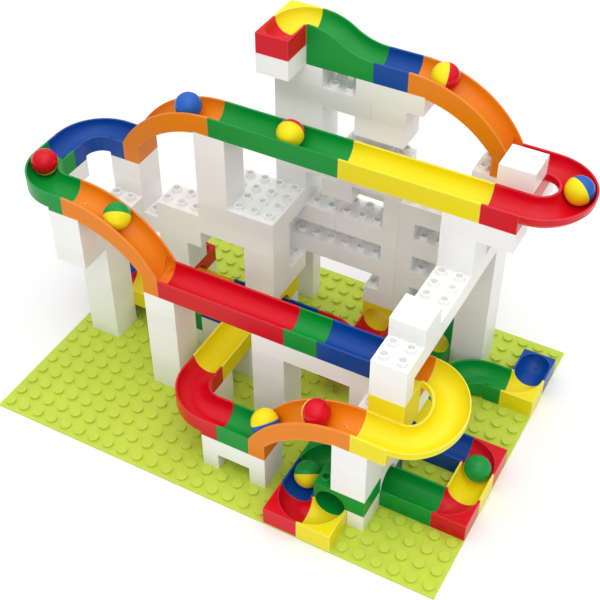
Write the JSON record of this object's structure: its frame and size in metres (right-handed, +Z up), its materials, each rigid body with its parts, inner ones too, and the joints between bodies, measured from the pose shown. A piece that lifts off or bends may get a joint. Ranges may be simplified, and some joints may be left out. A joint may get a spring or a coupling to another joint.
{
  "type": "marble run",
  "caption": "Brick-built marble run on a studded baseplate: white towers carry falling coloured channels, arches and turns with marbles that roll along them.",
  "frame": {"origin": "middle of the baseplate's underside", "axes": "+X along the baseplate's long side, to the right of the run's front; +Y from front to back; +Z up"},
  "size_m": [0.4955, 0.32, 0.3284],
  "materials": {
    "lime_plate": "smooth moulded gloss",
    "red_plastic": "smooth moulded gloss",
    "yellow_plastic": "smooth moulded gloss",
    "blue_plastic": "smooth moulded gloss",
    "green_plastic": "smooth moulded gloss",
    "orange_plastic": "smooth moulded gloss",
    "white_plastic": "smooth moulded gloss",
    "marble_yellow_red": "smooth moulded gloss",
    "marble_yellow_blue": "smooth moulded gloss",
    "marble_blue": "smooth moulded gloss",
    "marble_red": "smooth moulded gloss",
    "marble_green_yellow": "smooth moulded gloss",
    "marble_green": "smooth moulded gloss"
  },
  "bodies": {
    "structure": {"baseplate": "lime_plate", "beams_even": "white_plastic", "beams_odd": "white_plastic", "blue_corner_tracks": "blue_plastic", "blue_medium_track": "blue_plastic", "blue_narrow_brick": "blue_plastic", "blue_short_tracks": "blue_plastic", "blue_wide_curve": "blue_plastic", "bridge_beams": "white_plastic", "finish_bowl": "blue_plastic", "front_arch_track": "orange_plastic", "green_corner_track": "green_plastic", "green_ground_curve": "green_plastic", "green_ground_track": "green_plastic", "green_long_track": "green_plastic", "green_short_tracks": "green_plastic", "green_tall_tunnel": "green_plastic", "green_tunnel_block": "green_plastic", "green_wide_curve": "green_plastic", "left_arch_track": "orange_plastic", "left_bricks_even": "white_plastic", "left_bricks_odd": "white_plastic", "long_beams": "white_plastic", "middle_arch_track": "orange_plastic", "narrow_bricks_even": "white_plastic", "narrow_bricks_odd": "white_plastic", "orange_short_track": "orange_plastic", "overhang_bricks": "white_plastic", "red_back_curve": "red_plastic", "red_bowls": "red_plastic", "red_corner_tracks": "red_plastic", "red_front_curve": "red_plastic", "red_long_track": "red_plastic", "red_short_track": "red_plastic", "red_tunnel_block": "red_plastic", "red_u_turn": "red_plastic", "right_bricks_even": "white_plastic", "right_bricks_odd": "white_plastic", "smooth_top_blocks": "white_plastic", "three_stud_bricks_even": "white_plastic", "three_stud_bricks_odd": "white_plastic", "top_arch_track": "orange_plastic", "wave_track": "green_plastic", "white_tunnel_block": "white_plastic", "yellow_corner_tracks": "yellow_plastic", "yellow_falling_turn": "yellow_plastic", "yellow_long_track": "yellow_plastic", "yellow_medium_tracks": "yellow_plastic", "yellow_short_tracks": "yellow_plastic", "yellow_tunnel_blocks": "yellow_plastic"},
    "front_arch_marble": {"front_arch_marble": "marble_red"},
    "front_corner_marble": {"front_corner_marble": "marble_green_yellow"},
    "front_low_marble": {"front_low_marble": "marble_yellow_blue"},
    "left_arch_marble": {"left_arch_marble": "marble_green_yellow"},
    "long_track_marble": {"long_track_marble": "marble_yellow_red"},
    "middle_arch_marble": {"middle_arch_marble": "marble_blue"},
    "right_corner_marble": {"right_corner_marble": "marble_green"},
    "top_arch_marble": {"top_arch_marble": "marble_yellow_red"},
    "u_turn_marble": {"u_turn_marble": "marble_yellow_blue"},
    "wide_curve_marble": {"wide_curve_marble": "marble_red"}
  },
  "joints": [
    {"name": "top_arch_roll", "type": "hinge", "parent": "structure", "child": "top_arch_marble", "pos_m": [0.064, 0.112, 0.2004], "axis": [0, 1, 0], "range_deg": [-13.7, 46.3]},
    {"name": "middle_arch_roll", "type": "hinge", "parent": "structure", "child": "middle_arch_marble", "pos_m": [-0.096, 0.048, 0.1428], "axis": [0, -1, 0], "range_deg": [-15.4, 44.6]},
    {"name": "left_arch_roll", "type": "hinge", "parent": "structure", "child": "left_arch_marble", "pos_m": [-0.192, -0.048, 0.0852], "axis": [0, 1, 0], "range_deg": [-17, 33.9]},
    {"name": "front_arch_roll", "type": "hinge", "parent": "structure", "child": "front_arch_marble", "pos_m": [0.128, -0.112, 0.0084], "axis": [0, -1, 0], "range_deg": [-20.4, 15]},
    {"name": "front_low_roll", "type": "hinge", "parent": "structure", "child": "front_low_marble", "pos_m": [0.128, -0.112, 0.0084], "axis": [0, -1, 0], "range_deg": [-3, 6]},
    {"name": "u_turn_roll", "type": "hinge", "parent": "structure", "child": "u_turn_marble", "pos_m": [0.192, 0.08, 0.2516], "axis": [0, 0, 1], "range_deg": [-105.2, 74.8]},
    {"name": "wide_curve_roll", "type": "hinge", "parent": "structure", "child": "wide_curve_marble", "pos_m": [-0.208, -0.016, 0.194], "axis": [0, 0, 1], "range_deg": [-17.2, 72.8]},
    {"name": "long_track_roll", "type": "slide", "parent": "structure", "child": "long_track_marble", "axis": [1, 0, 0], "range_m": [-0.044, 0.18]},
    {"name": "front_corner_roll", "type": "slide", "parent": "structure", "child": "front_corner_marble", "axis": [0, 1, 0], "range_m": [-0.0195, 0.0115]},
    {"name": "right_corner_roll", "type": "slide", "parent": "structure", "child": "right_corner_marble", "axis": [0, 1, 0], "range_m": [-0.032, 0]}
  ]
}
